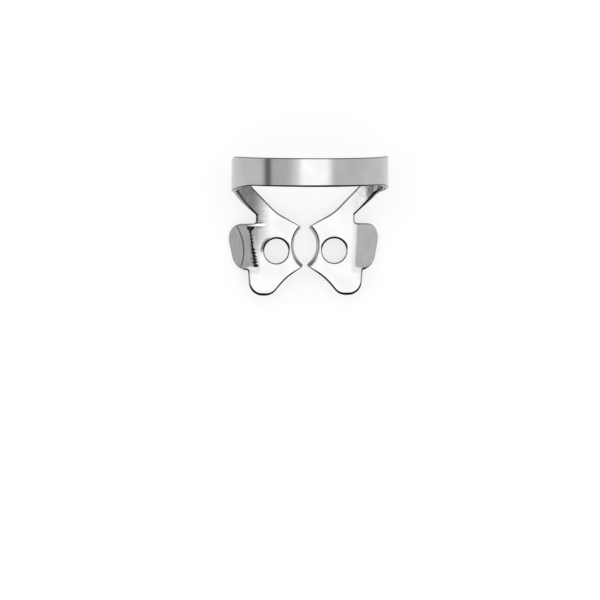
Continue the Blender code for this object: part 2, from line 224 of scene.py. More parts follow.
def fillet(before, corner, after, radius, steps):
    """Points of an arc of this radius that rounds a corner between two straight edges."""
    towards_before = (before - corner).normalized()
    towards_after = (after - corner).normalized()
    half_angle = towards_before.angle(towards_after) / 2
    reach = radius / math.tan(half_angle)
    bisector = (towards_before + towards_after).normalized()
    centre = corner + bisector * (radius / math.sin(half_angle))
    first = corner + towards_before * reach - centre
    last = corner + towards_after * reach - centre
    sweep = math.pi - 2 * half_angle
    steps = steps or max(2, math.ceil(sweep / arc_step(radius)))
    return [
        centre
        + first * (math.sin(sweep * (1 - step / steps)) / math.sin(sweep))
        + last * (math.sin(sweep * step / steps) / math.sin(sweep))
        for step in range(steps + 1)
    ]


def wing_root_directions():
    """Direction along the wing's root line to the rear, and the way outwards from it."""
    along = Vector((math.sin(WING_ROOT_LEAN), math.cos(WING_ROOT_LEAN)))
    outwards = Vector((math.cos(WING_ROOT_LEAN), -math.sin(WING_ROOT_LEAN)))
    return along, outwards


def wing_point(reach, rearwards):
    """Point of the flat sheet, from how far it lies out from the wing's root and along it."""
    along, outwards = wing_root_directions()
    return Vector((WING_ROOT_X, 0.0)) + outwards * reach + along * rearwards


def from_wing_root(point):
    """How far a point lies out from the wing's root, and how far to the rear along it."""
    along, outwards = wing_root_directions()
    offset = point - Vector((WING_ROOT_X, 0.0))
    return offset.dot(outwards), offset.dot(along)


def crossing(first, first_direction, second, second_direction):
    """Where two straight lines in the plane of the sheet cross."""
    offset = second - first
    share = offset.cross(second_direction) / first_direction.cross(second_direction)
    return first + first_direction * share


def grip_centre():
    return Vector((GRIP_DEPTH - GRIP_RADIUS, 0.0))


def grip_point(y):
    """Point of the gripping arc, at the jaw's underside, this far to the rear of its middle."""
    return grip_centre() + Vector((math.sqrt(GRIP_RADIUS**2 - y**2), y))


def meets_grip(start, towards, radius):
    """Where a straight flank meets the gripping arc, which is wider higher up the ground face."""
    direction = (towards - start).normalized()
    offset = start - grip_centre()
    along = offset.dot(direction)
    return start - direction * (along + math.sqrt(along**2 - offset.length_squared + radius**2))


class Bow:
    """Middle line of the strip in front view, from the crown (length 0) down to the jaw."""

    def __init__(self):
        crown_centre = Vector((0.0, BOW_HEIGHT - CROWN_RADIUS))
        foot_centre = Vector((FOOT_X, FOOT_RADIUS))
        between = foot_centre - crown_centre
        from_crown = SIDE_RADIUS - CROWN_RADIUS
        from_foot = SIDE_RADIUS - FOOT_RADIUS
        opening = math.acos(
            (from_crown**2 + between.length_squared - from_foot**2) / (2 * from_crown * between.length)
        )
        bearing = math.atan2(between.y, between.x) - opening
        side_centre = crown_centre + from_crown * Vector((math.cos(bearing), math.sin(bearing)))
        to_crown = crown_centre - side_centre
        to_foot = foot_centre - side_centre
        self.arcs = []
        self.length = 0.0
        turn = 0.0
        for centre, outer_radius, end_turn in (
            (crown_centre, CROWN_RADIUS, math.atan2(to_crown.x, to_crown.y)),
            (side_centre, SIDE_RADIUS, math.atan2(to_foot.x, to_foot.y)),
            (foot_centre, FOOT_RADIUS, math.pi),
        ):
            radius = outer_radius - SHEET_THICKNESS / 2
            self.arcs.append((self.length, turn, radius, centre))
            self.length += radius * (end_turn - turn)
            turn = end_turn
        self.crown_x = FOOT_X + self.length

    def at(self, length):
        """Middle of the sheet at this length, and how far the strip has turned there."""
        start, start_turn, radius, centre = [arc for arc in self.arcs if arc[0] <= max(0.0, length)][-1]
        turn = start_turn + (length - start) / radius
        return centre + radius * outward(turn), turn

    def length_at_height(self, height):
        """Length from the crown to where the middle line has come down to this height."""
        low, high = 0.0, self.length
        for _ in range(HEIGHT_HALVINGS):
            middle = (low + high) / 2
            low, high = (middle, high) if self.at(middle)[0].y > height else (low, middle)
        return low


def outline_corners(bow, grip_radius):
    """Corners of the right half of the flat sheet, each with the radius that rounds it.

    They run from the crown's front edge round to its rear edge, in three lists: up to the front
    point of the grip, along the gripping arc, and from the rear point on. X is given as if the
    whole sheet lay in the plane of the jaws, with the foot of the bow unrolled outwards, so that
    the jaw has its true place and the crown lies far out at crown_x.
    """
    front = BOW_REAR - BOW_WIDTH
    taper_x = bow.crown_x - bow.length_at_height(TAPER_START_HEIGHT)
    notch_lip = Vector((NOTCH_X, NOTCH_REAR))
    front_angle = NECK_ANGLE - NECK_FLARE
    neck_front = Vector((math.cos(front_angle), math.sin(front_angle)))
    neck_rear = Vector((math.cos(NECK_ANGLE), math.sin(NECK_ANGLE)))
    across = Vector((1.0, 0.0))
    backwards = Vector((0.0, 1.0))
    outwards = wing_root_directions()[1]
    neck_back = notch_lip + Vector((-neck_rear.y, neck_rear.x)) * NECK_WIDTH
    jaw_rear = Vector((math.cos(JAW_REAR_ANGLE), math.sin(JAW_REAR_ANGLE)))
    flank = Vector((FLANK_X, -FLANK_Y))
    jaw_corner = crossing(grip_point(GRIP_REAR_POINT), jaw_rear, neck_back, neck_rear)
    lobe_side = Vector((LOBE_X + LOBE_DRAFT, 0.0))
    front_point = meets_grip(flank, grip_point(-GRIP_FRONT_POINT), grip_radius)
    rear_point = meets_grip(jaw_corner, grip_point(GRIP_REAR_POINT), grip_radius)
    before_grip = [
        (Vector((bow.crown_x, front)), 0),
        (Vector((taper_x, front)), TAPER_ROUND),
        (crossing(notch_lip, neck_front, Vector((0.0, front - TAPER_DEPTH)), across), SHOULDER_ROUND),
        (notch_lip, NOTCH_LIP_ROUND),
        (crossing(notch_lip, backwards, wing_point(0.0, WING_REAR), outwards), NOTCH_ROUND),
        (wing_point(WING_LENGTH, WING_REAR), WING_REAR_ROUND),
        (wing_point(WING_LENGTH - WING_TAPER, -WING_FRONT), WING_FRONT_ROUND),
        (crossing(wing_point(0.0, -WING_FRONT), outwards, lobe_side, backwards), WING_CORNER_ROUND),
        (Vector((LOBE_X, -LOBE_FRONT)), LOBE_ROUND),
        (Vector((LOBE_X - LOBE_WIDTH, -LOBE_FRONT)), LOBE_ROUND),
        (flank, FLANK_ROUND),
        (front_point, FRONT_POINT_ROUND),
    ]
    start = math.atan2(*(front_point - grip_centre()).yx) + 2 * FRONT_POINT_ROUND / GRIP_RADIUS
    end = math.atan2(*(rear_point - grip_centre()).yx) - 2 * REAR_POINT_ROUND / GRIP_RADIUS
    on_grip = []
    for step in range(GRIP_STEPS + 1):
        angle = start + (end - start) * step / GRIP_STEPS
        on_grip.append((grip_centre() + grip_radius * Vector((math.cos(angle), math.sin(angle))), 0))
    after_grip = [
        (rear_point, REAR_POINT_ROUND),
        (jaw_corner, JAW_REAR_ROUND),
        (crossing(neck_back, neck_rear, Vector((0.0, BOW_REAR)), across), REAR_ROUND),
        (Vector((bow.crown_x, BOW_REAR)), 0),
    ]
    return before_grip, on_grip, after_grip


def half_outline(bow, grip_radius):
    """Outline of the right half of the flat sheet, front to rear: point, share of grinding, rim."""
    before_grip, on_grip, after_grip = outline_corners(bow, grip_radius)
    corners = before_grip + on_grip + after_grip
    front_point = len(before_grip) - 1
    rear_point = front_point + len(on_grip) + 1
    outline = []
    for index, (point, radius) in enumerate(corners):
        if radius == 0:
            ground = float(front_point < index < rear_point)
            rim = GROUND_TOP_RIM if ground else TOP_RIM
            outline.append((point, ground, rim if index else CROWN_FRONT_RIM))
            continue
        at_point = index in (front_point, rear_point)
        steps = POINT_STEPS if at_point else None
        arc = fillet(corners[index - 1][0], point, corners[index + 1][0], radius, steps)
        for step, arc_point in enumerate(arc):
            share = step / (len(arc) - 1)
            ground, rim = 0.0, TOP_RIM
            if at_point:
                ground, rim = (share if index == front_point else 1 - share), GROUND_TOP_RIM
            elif radius == LOBE_ROUND:
                lobe_begins = corners[index + 1][1] == LOBE_ROUND
                rim += (LOBE_TOP_RIM - TOP_RIM) * (share if lobe_begins else 1 - share)
            outline.append((arc_point, ground, rim))
    return outline


def in_fade(point):
    """Says if a point lies where the wing is drawn out of the flat sheet."""
    reach, along = from_wing_root(point)
    within_reach = 0 < reach < FADE_START_REACH + FADE_REACH
    return within_reach and 0 < along + LOBE_START < FADE_LENGTH + FADE_MARGIN


def divisions(outline):
    """Number of parts that each straight step of the outline is divided into."""
    counts = []
    for (start, _, _), (end, _, _) in zip(outline, outline[1:]):
        step = EDGE_STEP
        nearer, farther = sorted((from_wing_root(start)[0], from_wing_root(end)[0]))
        over_bend = nearer < EDGE_BEND_SHARE * WING_BEND_LENGTH and farther > -EDGE_BEND_MARGIN
        if start.y < NOTCH_MIDDLE and over_bend:
            step = BEND_ROW_STEP
        elif in_fade(start) or in_fade(end):
            step = FADE_STEP
        counts.append(max(1, math.ceil((end - start).length / step)))
    return counts


def divided(outline, counts):
    """The outline with each of its straight steps divided into this number of parts."""
    finer = []
    for start, end, count in zip(outline, outline[1:], counts):
        for step in range(count):
            share = step / count
            ground, rim = (first + (last - first) * share for first, last in zip(start[1:], end[1:]))
            finer.append((start[0].lerp(end[0], share), ground, rim))
    return finer + [outline[-1]]


def edge_normals(points, closed=False):
    """Sideways direction out of the material at each point, long enough to shift both its edges."""
    normals = []
    count = len(points)
    for index, point in enumerate(points):
        sides = []
        for first, second in ((index - 1, index), (index, index + 1)):
            if closed or (first >= 0 and second < count):
                step = (points[second % count] - points[first % count]).normalized()
                sides.append(Vector((-step.y, step.x)))
        middle = sum(sides, Vector((0.0, 0.0))).normalized()
        normals.append(middle / max(NARROWEST_MITRE, middle.dot(sides[0])))
    return normals


def edge_levels(ground, rim):
    """Levels of the cut edge from the underside up, as (set in, height, tilt of the surface).

    A ground edge is upright for the height of its land and then leans back up to the top rim.
    """
    half = SHEET_THICKNESS / 2
    under_rim = UNDER_RIM_SHARE * rim
    lean = ground * math.atan(GRIND_SLOPE)
    upper_level = min(UPPER_LEVEL, half - rim - UPPER_LEVEL_CLEARANCE)
    levels = []
    for step in range(RIM_STEPS + 1):
        turn = math.radians(90) * (1 - step / RIM_STEPS)
        set_in = under_rim * (1 - math.cos(turn))
        levels.append((set_in, under_rim * (1 - math.sin(turn)) - half, -turn))
    for height, tilt in (
        (LAND_HEIGHT + LAND_TURN_START, 0.0),
        (LAND_HEIGHT + LAND_TURN_END, lean),
        (upper_level, lean),
    ):
        levels.append((0.0, max(height, levels[-1][1] + LEAST_LEVEL_STEP), tilt))
    for step in range(RIM_STEPS + 1):
        turn = math.radians(90) * step / RIM_STEPS
        tilt = lean + (math.radians(90) - lean) * step / RIM_STEPS
        levels.append((rim * (1 - math.cos(turn)), half - rim * (1 - math.sin(turn)), tilt))
    return levels


def grip_radius_at(height):
    """Radius of the gripping arc at this height in the sheet: wider above its land."""
    return GRIP_RADIUS + max(0.0, height - LAND_HEIGHT) * GRIND_SLOPE


# Bending


class Press:
    """Puts points of the flat sheet in their places on the finished clamp."""

    def __init__(self, bow):
        self.bow = bow

    def wing_share(self, point):
        """How much of the wing's bend there is at a point: all of it, or less where it fades away."""
        reach, along = from_wing_root(point)
        past = reach - FADE_START_REACH
        past = (past + math.sqrt(past**2 + FADE_SOFTNESS**2)) / 2
        share = (along + WING_FRONT) / FADE_LENGTH + past / FADE_REACH
        share = max(0.0, min(1.0, share))
        return share**2 * (3 - 2 * share)

    def bend_wing(self, point, height, share):
        """Place in the jaw's plane and height after this share of the wing's bend."""
        reach, along = from_wing_root(point)
        if reach <= 0:
            return point, height
        turn = WING_BEND_ANGLE * min(1.0, reach / WING_BEND_LENGTH)
        rest = max(0.0, reach - WING_BEND_LENGTH)
        radius = WING_BEND_RADIUS + height
        bent_reach = radius * math.sin(turn) + rest * math.cos(turn)
        bent_height = radius * math.cos(turn) - WING_BEND_RADIUS - rest * math.sin(turn)
        new_reach = reach + (bent_reach - reach) * share
        return wing_point(new_reach, along), height + (bent_height - height) * share

    def place(self, flat, side, region, share):
        """Place of a flat sheet point on the clamp; side is 1 for the right and -1 for the left."""
        point, height = flat.xy, flat.z
        length = self.bow.crown_x - point.x
        if region == "bow" and length < self.bow.length:
            middle, turn = self.bow.at(length)
            spot = middle - outward(turn) * height
            return Vector((side * spot.x, point.y, spot.y))
        if region == "wing":
            point, height = self.bend_wing(point, height, share)
        jaw_set = RIGHT_JAW_SET if side > 0 else 0.0
        out = Vector((math.cos(jaw_set), math.sin(jaw_set)))
        lift = Vector((-math.sin(jaw_set), math.cos(jaw_set)))
        spot = Vector((FOOT_X, SHEET_THICKNESS / 2)) + out * (point.x - FOOT_X) + lift * height
        return Vector((side * spot.x, point.y, spot.y))

    def press(self, flat, normal, side):
        """Place and surface direction, after bending, of a point of the flat sheet's surface.

        Where the wing's bend fades away, the direction goes over evenly from bent to flat.
        """
        region = "bow" if flat.y > NOTCH_MIDDLE else "wing"
        bent = self.wing_share(flat.xy) if region == "wing" else 0.0
        first = normal.orthogonal().normalized() * FEELER
        second = normal.cross(first).normalized() * FEELER
        facing = Vector()
        for share, weight in ((0.0, 1 - bent), (1.0, bent)):
            if weight > 0:
                along_first, along_second = (
                    self.place(flat + feeler, side, region, share)
                    - self.place(flat - feeler, side, region, share)
                    for feeler in (first, second)
                )
                facing += along_first.cross(along_second) * side * weight
        return self.place(flat, side, region, bent), facing


class Skin:
    """Collects the bent surface: places, surface directions and where each point lay when flat."""

    def __init__(self, press):
        self.press = press
        self.index = {}
        self.places = []
        self.normals = []
        self.sheet = []
        self.wing = []
        self.edge = []
        self.faces = []

    def point(self, flat, height, normal, ground, side):
        """Number of the bent point for a flat one; at the crown both sides share their points."""
        at_crown = abs(flat.x - self.press.bow.crown_x) < AT_CROWN
        rounded = [round(measure * POINTS_PER_METRE) for measure in (flat.x, flat.y, height)]
        key = (0 if at_crown else side, *rounded)
        if key in self.index:
            return self.index[key]
        place, facing = self.press.press(Vector((flat.x, flat.y, height)), normal, side)
        reach, along = from_wing_root(flat)
        if flat.y > NOTCH_MIDDLE:
            reach = min(reach, OFF_WING_REACH)
        self.index[key] = len(self.places)
        self.places.append(place)
        self.normals.append(facing.normalized())
        self.sheet.append((side * (self.press.bow.crown_x - flat.x) / MM, flat.y / MM, height / MM))
        self.wing.append((reach / MM, along / MM, side))
        self.edge.append((math.sqrt(normal.x**2 + normal.y**2), ground, normal.y))
        return self.index[key]

    def face(self, *corners):
        """Adds a face whose front is the side that its corners' surface directions point to."""
        places = [self.places[corner] for corner in corners]
        front = sum((self.normals[corner] for corner in corners), Vector())
        facing = (places[1] - places[0]).cross(places[2] - places[0])
        if len(corners) == 4:
            facing += (places[2] - places[0]).cross(places[3] - places[0])
        self.faces.append(corners if facing.dot(front) > 0 else tuple(reversed(corners)))

    def mesh(self, name):
        mesh = bpy.data.meshes.new(name)
        mesh.from_pydata([tuple(place) for place in self.places], [], self.faces)
        mesh.polygons.foreach_set("use_smooth", [True] * len(mesh.polygons))
        for layer_name, values in (("sheet", self.sheet), ("wing", self.wing), ("edge", self.edge)):
            layer = mesh.attributes.new(layer_name, "FLOAT_VECTOR", "POINT")
            layer.data.foreach_set("vector", np.array(values, np.float32).ravel())
        mesh.normals_split_custom_set_from_vertices([tuple(normal) for normal in self.normals])
        mesh.update()
        return mesh


def cut_edge(skin, rings, side, closed):
    """Skins the cut edge of the sheet between its levels."""
    rows = []
    for ring in rings:
        rows.append([skin.point(*spot, side) for spot in ring])
    for low, high in zip(rows, rows[1:]):
        count = len(low)
        for index in range(count if closed else count - 1):
            after = (index + 1) % count
            skin.face(low[index], low[after], high[after], high[index])


def outline_rings(bow):
    """The outer cut edge: at each level, the points with their heights and surface directions."""
    counts = divisions(half_outline(bow, GRIP_RADIUS))
    rings = []
    for level, (_, grip_height, _) in enumerate(edge_levels(1.0, GROUND_TOP_RIM)):
        outline = divided(half_outline(bow, grip_radius_at(grip_height)), counts)
        points = [point for point, _, _ in outline]
        ring = []
        for (point, share, rim), sideways in zip(outline, edge_normals(points)):
            inset, height, tilt = edge_levels(share, rim)[level]
            outwards = sideways.normalized() * math.cos(tilt)
            normal = Vector((outwards.x, outwards.y, math.sin(tilt)))
            ground = share if height > LAND_HEIGHT else 0.0
            ring.append((point - sideways * inset, height, normal, ground))
        rings.append(ring)
    return rings


def hole_rings():
    """The forceps hole's cut edge, level by level."""
    centre = Vector((HOLE_X, -HOLE_FORWARD))
    rings = []
    for inset, height, tilt in edge_levels(0.0, HOLE_TOP_RIM):
        ring = []
        for step in range(HOLE_STEPS):
            angle = 2 * math.pi * step / HOLE_STEPS
            out = Vector((math.cos(angle), math.sin(angle)))
            inwards = -out * math.cos(tilt)
            normal = Vector((inwards.x, inwards.y, math.sin(tilt)))
            ring.append((centre + out * (HOLE_RADIUS + inset), height, normal, 0.0))
        rings.append(ring)
    return rings


def inner_points(border, hole):
    """Points spread over the inside of a flat face, closer together over the wing's bend."""
    columns = np.arange(0.0, border[0].x, GRID_STEP)
    rows = np.arange(-LOBE_FRONT, BOW_REAR, GRID_STEP)
    kept = []
    for spot in (Vector((x, y)) for x in columns for y in rows):
        reach, along = from_wing_root(spot)
        beside_bend = -BEND_MARGIN < reach < WING_BEND_LENGTH + BEND_MARGIN
        on_bend = beside_bend and -LOBE_START < along < WING_REAR
        if not (on_bend or in_fade(spot)):
            kept.append(spot)
    bend_rows = math.ceil(WING_BEND_LENGTH / BEND_ROW_STEP)
    fade_rear = FADE_LENGTH + FADE_MARGIN - LOBE_START
    for row in range(-1, bend_rows + 2):
        reach = row * WING_BEND_LENGTH / bend_rows
        kept += [wing_point(reach, along) for along in np.arange(fade_rear, WING_REAR, GRID_STEP)]
        kept += [wing_point(reach, along) for along in np.arange(-LOBE_START, fade_rear, FADE_STEP)]
    fade_end = FADE_START_REACH + FADE_REACH
    for reach in np.arange(WING_BEND_LENGTH + FADE_ROW_START, fade_end, FADE_STEP):
        kept += [wing_point(reach, along) for along in np.arange(-LOBE_START, fade_rear, FADE_STEP)]
    return well_inside(np.array([tuple(spot) for spot in kept]), (border, hole))


def well_inside(spots, loops):
    """The spots that lie inside an odd number of the loops and not too near to any of them."""
    inside = np.zeros(len(spots), bool)
    nearest = np.full(len(spots), 1.0)
    for loop in loops:
        starts = np.array([tuple(point) for point in loop])
        ends = np.roll(starts, -1, axis=0)
        for start, end in zip(starts, ends):
            crosses = (start[1] > spots[:, 1]) != (end[1] > spots[:, 1])
            if end[1] != start[1]:
                x = start[0] + (spots[:, 1] - start[1]) * (end[0] - start[0]) / (end[1] - start[1])
                inside ^= crosses & (spots[:, 0] < x)
            step = end - start
            share = np.clip((spots - start) @ step / max(step @ step, 1e-20), 0, 1)
            nearest = np.minimum(nearest, np.linalg.norm(spots - start - share[:, None] * step, axis=1))
    return [Vector(spot) for spot in spots[inside & (nearest > BORDER_MARGIN)]]


def flat_face(skin, border, hole, height, direction):
    """Skins one flat face of both halves of the sheet inside its border, round the hole."""
    crown_steps = math.ceil((border[-1].y - border[0].y) / GRID_STEP)
    crown = [border[-1].lerp(border[0], step / crown_steps) for step in range(1, crown_steps)]
    border = border + crown
    points = border + hole + inner_points(border, hole)
    edges = [(index, (index + 1) % len(border)) for index in range(len(border))]
    first = len(border)
    edges += [(first + index, first + (index + 1) % len(hole)) for index in range(len(hole))]
    scaled = [point / MM for point in points]
    triangulated = delaunay_2d_cdt(scaled, edges, [], TRIANGLES_INSIDE, TRIANGLE_TOLERANCE)
    _, _, faces, sources, _, _ = triangulated
    flat = [points[source[0]] for source in sources]
    at_hole = [first <= source[0] < first + len(hole) for source in sources]
    normal = Vector((0.0, 0.0, direction))
    for side in (1, -1):
        corners = [skin.point(point, height, normal, 0.0, side) for point in flat]
        for face in faces:
            if not all(at_hole[corner] for corner in face):
                skin.face(*[corners[corner] for corner in face])


def clamp_sheet():
    """The whole clamp: flat faces and cut edges of the sheet, bent to shape."""
    bow = Bow()
    skin = Skin(Press(bow))
    outer = outline_rings(bow)
    inner = hole_rings()
    for side in (1, -1):
        cut_edge(skin, outer, side, closed=False)
        cut_edge(skin, inner, side, closed=True)
    for level, direction in ((0, -1.0), (-1, 1.0)):
        border = [spot[0] for spot in outer[level]]
        hole = [spot[0] for spot in inner[level]]
        flat_face(skin, border, hole, outer[level][0][1], direction)
    return bpy.data.objects.new("clamp_sheet", skin.mesh("clamp_sheet"))


# Finishes


class Signal:
    """A node's output; arithmetic on it adds Math nodes."""

    def __init__(self, board, socket):
        self.board = board
        self.socket = socket

    def maths(self, operation, *others):
        return self.board.node("ShaderNodeMath", {"operation": operation}, dict(enumerate((self, *others))))

    def __add__(self, other):
        return self.maths("ADD", other)

    def __radd__(self, other):
        return self.maths("ADD", other)

    def __sub__(self, other):
        return self.maths("SUBTRACT", other)

    def __rsub__(self, other):
        return self.board.node("ShaderNodeMath", {"operation": "SUBTRACT"}, {0: other, 1: self})

    def __mul__(self, other):
        return self.maths("MULTIPLY", other)

    def __rmul__(self, other):
        return self.maths("MULTIPLY", other)

    def __truediv__(self, other):
        return self.maths("DIVIDE", other)

    def __rtruediv__(self, other):
        return self.board.node("ShaderNodeMath", {"operation": "DIVIDE"}, {0: other, 1: self})

    def __abs__(self):
        return self.maths("ABSOLUTE")

    def ease(self, low, high, start=0.0, end=1.0):
        """Goes smoothly from start to end as this value goes from low to high."""
        return self.board.node(
            "ShaderNodeMapRange",
            {"interpolation_type": "SMOOTHSTEP"},
            {"Value": self, "From Min": low, "From Max": high, "To Min": start, "To Max": end},
        )


class Board:
    """Node tree of one finish."""

    def __init__(self, tree):
        self.tree = tree
        tree.nodes.clear()

    def node(self, kind, settings=None, sockets=None, output=0):
        made = self.tree.nodes.new(kind)
        for name, value in (settings or {}).items():
            setattr(made, name, value)
        for name, value in (sockets or {}).items():
            if isinstance(value, Signal):
                self.tree.links.new(value.socket, made.inputs[name])
            else:
                made.inputs[name].default_value = value
        return Signal(self, made.outputs[output] if made.outputs else None)

    def attribute(self, name):
        return self.node("ShaderNodeAttribute", {"attribute_name": name}, output="Vector")

    def parts(self, vector):
        return [
            self.node("ShaderNodeSeparateXYZ", sockets={"Vector": vector}, output=axis) for axis in range(3)
        ]

    def stretched(self, x, y, z):
        return self.node("ShaderNodeCombineXYZ", sockets={"X": x, "Y": y, "Z": z})

    def noise(self, vector, scale, detail, roughness=0.5):
        return self.node(
            "ShaderNodeTexNoise",
            {"noise_dimensions": "3D"},
            {"Vector": vector, "Scale": scale, "Detail": detail, "Roughness": roughness},
        )

    def blend(self, share, first, second):
        return self.node(
            "ShaderNodeMix", {"data_type": "RGBA"}, {0: share, 6: first, 7: second}, output=2
        )

    def bump(self, height, depth, under=None):
        sockets = {"Height": height, "Strength": 1.0, "Distance": depth}
        if under is not None:
            sockets["Normal"] = under
        return self.node("ShaderNodeBump", sockets=sockets)


def new_finish(name):
    material = bpy.data.materials.new(name)
    material.use_nodes = True
    return material, Board(material.node_tree)


def distance(first, second):
    """Distance from where both of these signals are nought."""
    return (first * first + second * second).maths("SQRT")


class SheetPlaces:
    """Where each point of the clamp lay on its flat sheet, in millimetres, and how it faces.

    Length is measured from the crown and out from the grip's middle; both follow the strip.
    Across goes to the rear, and height up from the middle of the sheet. Reach and along are
    measured from the wing's root line, outwards and to the rear. Sideways is 1 where a surface
    faces out of the cut edge, ground is 1 on the ground face, and rearwards is 1 to the rear
    and -1 to the front.
    """

    def __init__(self, board):
        self.sheet = board.attribute("sheet")
        self.length, self.across, self.height = board.parts(self.sheet)
        self.reach, self.along, self.side = board.parts(board.attribute("wing"))
        self.sideways, self.ground, self.rearwards = board.parts(board.attribute("edge"))
        self.out = Bow().crown_x / MM - abs(self.length)
        self.left = self.side.ease(0.5, -0.5)
        self.left_foot = self.left * self.out.ease(7.6, 8.8) * self.out.ease(13.0, 11.8)
        self.on_top = self.height.ease(0.2, 0.35)
        self.past_hole = self.out - HOLE_X / MM
        self.behind_hole = self.across + HOLE_FORWARD / MM
        self.from_hole = distance(self.past_hole, self.behind_hole)
        self.inside_notch = NOTCH_X / MM - self.out
        self.patches = board.noise(
            board.stretched(self.out * 1.2, self.across * 0.8, self.side), 1.0, 3.0, 0.6
        )
        self.streaks = board.noise(
            board.stretched(self.out * 0.8, self.across * 5.0, self.side), 1.0, 2.0, 0.6
        )


def painted_rim_shade(at):
    """Painted shade on the rims of the stamped outline: dark all round, and blackest where they face
    forwards.
    """
    off_grinding = at.sideways.ease(1.0, 0.97) * (1 - at.ground * at.height.ease(0.32, 0.26))
    at_rear = at.rearwards.ease(0.0, 0.5, 0.35, at.out.ease(13.0, 16.0, 0.6, 0.9))
    rim_shading = at.sideways.ease(0.12, 0.5) * off_grinding * at_rear
    front_edge_shading = at.rearwards.ease(-0.005, -0.12) * off_grinding * (1 - at.left_foot * 0.6)
    return rim_shading, front_edge_shading


def painted_hole_rim_shade(at):
    """Painted shadow in the rear stretch of each forceps hole's upper rim."""
    rear_stretch = (at.behind_hole / at.from_hole).ease(0.05, 0.5)
    return rear_stretch * at.from_hole.ease(2.1, 2.0) * at.height.ease(0.1, 0.2)


def torn_band(at):
    """The upper part of the cut edge, which the punch tears open instead of shearing."""
    band = at.sideways.ease(0.97, 1.0) * at.height.ease(-0.15, 0.0)
    return band * (1 - at.ground) * (1 - at.left_foot * 0.5)


def dark_land_band(at):
    """The dark band under the ground face of each gripping arc."""
    from_grip = distance(at.out - grip_centre().x / MM, at.across)
    dark_band = from_grip.ease(3.66, 3.5) * at.sideways.ease(0.5, 0.8) * at.height.ease(-0.16, -0.2)
    return dark_band * at.out.ease(3.0, 2.5) * abs(at.across).ease(3.0, 2.8)


def cracked_plating(board, at):
    """The beaded crack in the plating along the left wing's bend, and the frayed plating beside it."""
    ragged = board.noise(board.stretched(at.reach * 2.0, at.along * 2.3, at.height), 1.0, 3.0, 0.65)
    beads = (at.along * 13.0 + ragged * 13.0).maths("SINE").ease(-0.8, 0.8)
    from_crack = abs(at.reach - 0.43 - at.along * 0.078 + (ragged - 0.5) * 0.16)
    half_width = at.along.ease(0.6, -1.8, 0.04, 0.08) + beads * at.along.ease(0.6, -1.6, 0.1, 0.15)
    half_width = half_width + at.along.ease(2.0, 2.75) * 0.42
    cracked = (from_crack - half_width).ease(0.08, 0.0)
    cracked = cracked * at.left * at.along.ease(-3.1, -2.95) * at.along.ease(2.9, 2.78)
    fine_streaks = board.noise(board.stretched(at.reach * 0.7, at.along * 7.0, at.height), 1.0, 2.0, 0.6)
    frayed = from_crack.ease(0.62, 0.1) * fine_streaks.ease(0.5, 0.66) * at.left
    return cracked, frayed * at.along.ease(-3.2, -2.8) * at.along.ease(2.8, 2.6)


def painted_highlight_line(at):
    """Painted highlight: a bright line across the rear end of the left wing's bend."""
    line = at.along.ease(2.86, 2.95) * at.along.ease(3.14, 3.05)
    return line * at.reach.ease(0.85, 0.6) * at.reach.ease(-1.5, -1.1) * at.left


def shaded_wing_crease(at):
    """Curved crease across the left wing, out from its bend; its dark line is painted shade, its groove a
    bump.
    """
    from_crease = at.reach - 1.88 - (at.along + 0.3) * (at.along + 0.3) * 0.1
    return abs(from_crease).ease(0.2, 0.05) * at.left * abs(at.along).ease(3.1, 2.6)


def dull_shaded_jaw(at):
    """Duller rear part of the left jaw up to its neck, with a streaked edge; its dark colour is painted
    shade for the darker reflection there.
    """
    off_wing = at.across.ease(2.95, 3.2, at.reach.ease(0.55, 0.3), 1.0)
    jaw_dull_shade = (at.out + (at.streaks - 0.5) * 1.2).ease(4.8, 7.3) * at.across.ease(-2.4, 2.4)
    jaw_dull_shade = jaw_dull_shade * at.across.ease(2.4, 4.6, 0.75, 1.0) * (1 - at.left_foot * 0.4)
    return jaw_dull_shade * at.left * at.on_top * off_wing


def rubbed_wings(board, at):
    """Long patches on the wings where the buffing has gone."""
    rubbed = board.noise(board.stretched(at.reach * 1.6, at.along * 0.45, at.side), 1.0, 2.0, 0.6)
    return rubbed.ease(0.35, 0.65) * at.reach.ease(0.5, 1.0) * at.on_top


def notch_nicks(at):
    """Dark nicks inwards from the left notch, and two round ones at its lip and its corner."""
    inwards = at.inside_notch
    nicks = abs(at.across - 3.33).ease(0.13, 0.02) + abs(at.across - 3.6).ease(0.1, 0.02) * 0.5
    nicks = nicks + abs(at.across - 2.62).ease(0.14, 0.02) * 0.6
    nicks = nicks * inwards.ease(-0.1, 0.1) * (inwards + (at.streaks - 0.5) * 0.8).ease(1.3, 0.5)
    from_lip = distance((inwards - 0.12) * 2.236, at.across - 3.82)
    from_corner = distance(inwards - 0.08, at.across - 4.4)
    nicks = (nicks + from_lip.ease(0.42, 0.28) + from_corner.ease(0.3, 0.17)) * at.left
    return nicks.maths("MINIMUM", 1.0)


def dull_shaded_feet(at):
    """Duller mottled patches on top of the feet, stronger on the left one; their dark colour is painted
    shade.
    """
    marks = (at.out + (at.patches - 0.5) * 0.9).ease(6.3, 7.7) * at.out.ease(11.0, 9.5)
    marks = marks * at.across.ease(3.4, 4.6) * at.patches.ease(0.35, 0.6, 1.0, 0.3)
    return marks * at.on_top * at.left.ease(0.0, 1.0, 0.6, 1.0)


def shade_under_feet(at):
    """Painted shade under the feet and round their outer bend, mottled, stronger on the left one."""
    under_shade = at.height.ease(-0.1, -0.3) * at.out.ease(7.0, 8.0) * at.out.ease(15.0, 13.6)
    under_shade = under_shade * at.across.ease(10.4, 9.4) * at.patches.ease(0.25, 0.65, 1.0, 0.5)
    return under_shade * at.left.ease(0.0, 1.0, 0.5, 1.0)


